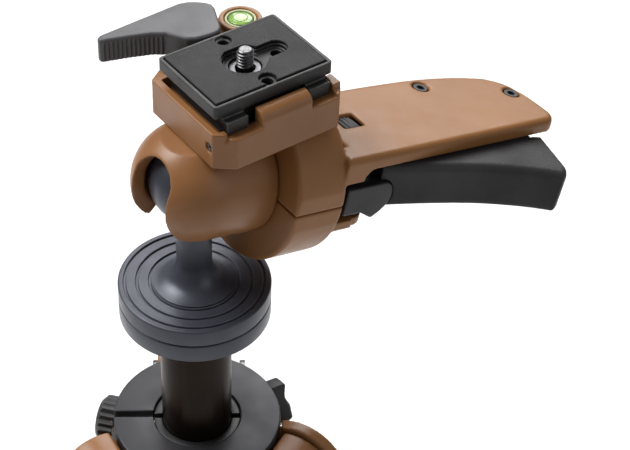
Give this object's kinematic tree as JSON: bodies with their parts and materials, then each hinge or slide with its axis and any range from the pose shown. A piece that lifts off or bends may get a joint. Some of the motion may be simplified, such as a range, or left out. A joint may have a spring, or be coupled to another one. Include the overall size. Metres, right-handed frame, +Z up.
{
  "type": "camera tripod with grip ball head",
  "caption": "Aluminium tripod with a sliding centre column, a tilting ball head with a squeeze grip, and a quick-release camera plate with a level.",
  "frame": {"origin": "centre of the whole object's box, on the floor its feet stand on", "axes": "+Z up along the centre column; the head's grip points between +X and +Y; the operator's side is -Y"},
  "size_m": [0.4194, 0.3668, 0.6331],
  "materials": {
    "tan_paint": "fine satin powder coat",
    "tan_shell": "satin moulded shell painted to match the metal parts",
    "dark_anodised": "satin anodised, blue-black",
    "dark_tube": "dark brown anodised tube",
    "collar_grey": "satin dark grey",
    "satin_black": "satin black moulding",
    "plate_grey": "matt dark grey casting",
    "lever_grey": "fine satin mid grey",
    "grip_rubber": "fine textured rubber",
    "pad_rubber": "fine knurled non-slip pad",
    "foot_rubber": "moulded rubber",
    "bright_steel": "turned steel",
    "brass": "plain machined brass",
    "white_plastic": "moulded acetal",
    "level_liquid": "clear yellow-green level"
  },
  "bodies": {
    "base": {"spider_hub": "tan_paint", "column_collar": "collar_grey", "column_bushing": "satin_black", "leg_pivot_bolt_1": "bright_steel", "leg_pivot_bolt_2": "bright_steel", "leg_pivot_bolt_3": "bright_steel"},
    "column_knob": {"column_lock_knob": "satin_black"},
    "column_lever": {"column_lock_lever": "satin_black"},
    "column": {"column_tube": "dark_tube", "column_top_plate": "dark_anodised", "column_end_cap": "satin_black", "head_base_disc": "dark_anodised", "head_mount_stud": "bright_steel", "ball_and_stem": "dark_anodised"},
    "head_pan_ring": {"dust_washer": "satin_black"},
    "head_tilt_cup": {"ball_seat_cup": "white_plastic"},
    "head": {"ball_housing": "tan_paint", "brake_spring": "bright_steel", "grip_upper_shell": "tan_shell", "grip_lower_shell": "tan_shell", "grip_screw_1": "satin_black", "grip_screw_2": "satin_black", "lever_pivot_pin": "bright_steel", "adapter_body": "tan_paint", "adapter_set_screw": "bright_steel", "clamp_lever_pin": "bright_steel", "level_cup": "white_plastic", "level_glass": "level_liquid", "plate_body": "plate_grey", "plate_pad": "pad_rubber", "screw_ring": "bright_steel"},
    "piston": {"thrust_piston": "bright_steel"},
    "grip_lever": {"squeeze_lever": "satin_black", "lever_grip_pad": "grip_rubber"},
    "friction_dial": {"friction_wheel": "satin_black"},
    "plate_clamp": {"clamp_lever": "lever_grey"},
    "plate_jaw": {"clamp_jaw": "brass"},
    "safety_button": {"release_button": "brass"},
    "plate_screw": {"camera_screw": "bright_steel"},
    "leg_1": {"leg_yoke_1": "tan_paint", "leg_upper_tube_1": "dark_tube", "leg_clamp_1": "satin_black"},
    "leg_1_catch": {"leg_angle_catch_1": "satin_black"},
    "leg_1_flip": {"leg_clamp_lever_1": "satin_black"},
    "leg_1_lower": {"leg_lower_tube_1": "dark_tube", "leg_foot_1": "foot_rubber"},
    "leg_2": {"leg_yoke_2": "tan_paint", "leg_upper_tube_2": "dark_tube", "leg_clamp_2": "satin_black"},
    "leg_2_catch": {"leg_angle_catch_2": "satin_black"},
    "leg_2_flip": {"leg_clamp_lever_2": "satin_black"},
    "leg_2_lower": {"leg_lower_tube_2": "dark_tube", "leg_foot_2": "foot_rubber"},
    "leg_3": {"leg_yoke_3": "tan_paint", "leg_upper_tube_3": "dark_tube", "leg_clamp_3": "satin_black"},
    "leg_3_catch": {"leg_angle_catch_3": "satin_black"},
    "leg_3_flip": {"leg_clamp_lever_3": "satin_black"},
    "leg_3_lower": {"leg_lower_tube_3": "dark_tube", "leg_foot_3": "foot_rubber"}
  },
  "joints": [
    {"name": "column_lift", "type": "slide", "parent": "base", "child": "column", "axis": [0, 0, 1], "range_m": [-0.06, 0.24]},
    {"name": "column_knob_turn", "type": "hinge", "parent": "base", "child": "column_knob", "pos_m": [0, -0.05718, 0.4417], "axis": [-0.9659, 0.2588, 0], "range_deg": [0, 270]},
    {"name": "column_lever_turn", "type": "hinge", "parent": "base", "child": "column_lever", "pos_m": [0, -0.05718, 0.4417], "axis": [0.891, 0.454, 0], "range_deg": [-70, 0]},
    {"name": "leg_1_spread", "type": "hinge", "parent": "base", "child": "leg_1", "pos_m": [0, -0.01518, 0.436], "axis": [-1, 0, 0], "range_deg": [0, 23]},
    {"name": "leg_1_catch_pull", "type": "slide", "parent": "leg_1", "child": "leg_1_catch", "axis": [0, 0.9205, 0.3907], "range_m": [0, 0.004], "stiffness_N_per_m": 300, "springref_m": -0.001},
    {"name": "leg_1_clamp_flip", "type": "hinge", "parent": "leg_1", "child": "leg_1_flip", "pos_m": [0, 0.15435, 0.08396], "axis": [1, 0, 0], "range_deg": [0, 100]},
    {"name": "leg_1_extend", "type": "slide", "parent": "leg_1", "child": "leg_1_lower", "axis": [0, 0.3907, -0.9205], "range_m": [-0.02, 0.28]},
    {"name": "leg_2_spread", "type": "hinge", "parent": "base", "child": "leg_2", "pos_m": [-0.03637, -0.07818, 0.436], "axis": [0.5, -0.866, 0], "range_deg": [0, 23]},
    {"name": "leg_2_catch_pull", "type": "slide", "parent": "leg_2", "child": "leg_2_catch", "axis": [-0.7972, -0.4603, 0.3907], "range_m": [0, 0.004], "stiffness_N_per_m": 300, "springref_m": -0.001},
    {"name": "leg_2_clamp_flip", "type": "hinge", "parent": "leg_2", "child": "leg_2_flip", "pos_m": [-0.18319, -0.16295, 0.08396], "axis": [-0.5, 0.866, 0], "range_deg": [0, 100]},
    {"name": "leg_2_extend", "type": "slide", "parent": "leg_2", "child": "leg_2_lower", "axis": [-0.3384, -0.1954, -0.9205], "range_m": [-0.02, 0.28]},
    {"name": "leg_3_spread", "type": "hinge", "parent": "base", "child": "leg_3", "pos_m": [0.03637, -0.07818, 0.436], "axis": [0.5, 0.866, 0], "range_deg": [0, 23]},
    {"name": "leg_3_catch_pull", "type": "slide", "parent": "leg_3", "child": "leg_3_catch", "axis": [0.7972, -0.4603, 0.3907], "range_m": [0, 0.004], "stiffness_N_per_m": 300, "springref_m": -0.001},
    {"name": "leg_3_clamp_flip", "type": "hinge", "parent": "leg_3", "child": "leg_3_flip", "pos_m": [0.18319, -0.16295, 0.08396], "axis": [-0.5, -0.866, 0], "range_deg": [0, 100]},
    {"name": "leg_3_extend", "type": "slide", "parent": "leg_3", "child": "leg_3_lower", "axis": [0.3384, -0.1954, -0.9205], "range_m": [-0.02, 0.28]},
    {"name": "head_pan", "type": "hinge", "parent": "column", "child": "head_pan_ring", "pos_m": [0, -0.05718, 0.583], "axis": [0, 0, 1], "continuous": true},
    {"name": "head_tilt", "type": "hinge", "parent": "head_pan_ring", "child": "head_tilt_cup", "pos_m": [0, -0.05718, 0.583], "axis": [-0.6428, 0.766, 0], "range_deg": [-90, 2]},
    {"name": "head_roll", "type": "hinge", "parent": "head_tilt_cup", "child": "head", "pos_m": [0, -0.05718, 0.583], "axis": [0.8071, 0.5444, -0.2284], "range_deg": [-18, 18]},
    {"name": "grip_squeeze", "type": "hinge", "parent": "head", "child": "grip_lever", "pos_m": [0.0589, -0.047, 0.57021], "axis": [0.1893, 0.1277, 0.9736], "range_deg": [0, 10], "stiffness_Nm_per_rad": 4, "springref_deg": -5.73},
    {"name": "piston_release", "type": "slide", "parent": "head", "child": "piston", "axis": [0.8071, 0.5444, -0.2284], "range_m": [0, 0.0015]},
    {"name": "friction_wheel_turn", "type": "hinge", "parent": "head", "child": "friction_dial", "pos_m": [0.05704, -0.02956, 0.57897], "axis": [-0.5592, 0.829, 0], "range_deg": [-40, 40]},
    {"name": "clamp_lever_swing", "type": "hinge", "parent": "head", "child": "plate_clamp", "pos_m": [0.00021, -0.01904, 0.623], "axis": [0, 0, 1], "range_deg": [-60, 0]},
    {"name": "clamp_jaw_slide", "type": "slide", "parent": "head", "child": "plate_jaw", "axis": [-0.5592, 0.829, 0], "range_m": [0, 0.0025]},
    {"name": "safety_button_press", "type": "slide", "parent": "head", "child": "safety_button", "axis": [0.5592, -0.829, 0], "range_m": [0, 0.0015], "stiffness_N_per_m": 200, "springref_m": -0.001},
    {"name": "camera_screw_turn", "type": "hinge", "parent": "head", "child": "plate_screw", "pos_m": [0.01918, -0.04485, 0.6285], "axis": [0, 0, 1], "continuous": true}
  ],
  "couplings": [
    {"joint": "piston_release", "follows": "grip_squeeze", "m_per_rad": 0.008593},
    {"joint": "clamp_jaw_slide", "follows": "clamp_lever_swing", "m_per_rad": -0.002386}
  ]
}
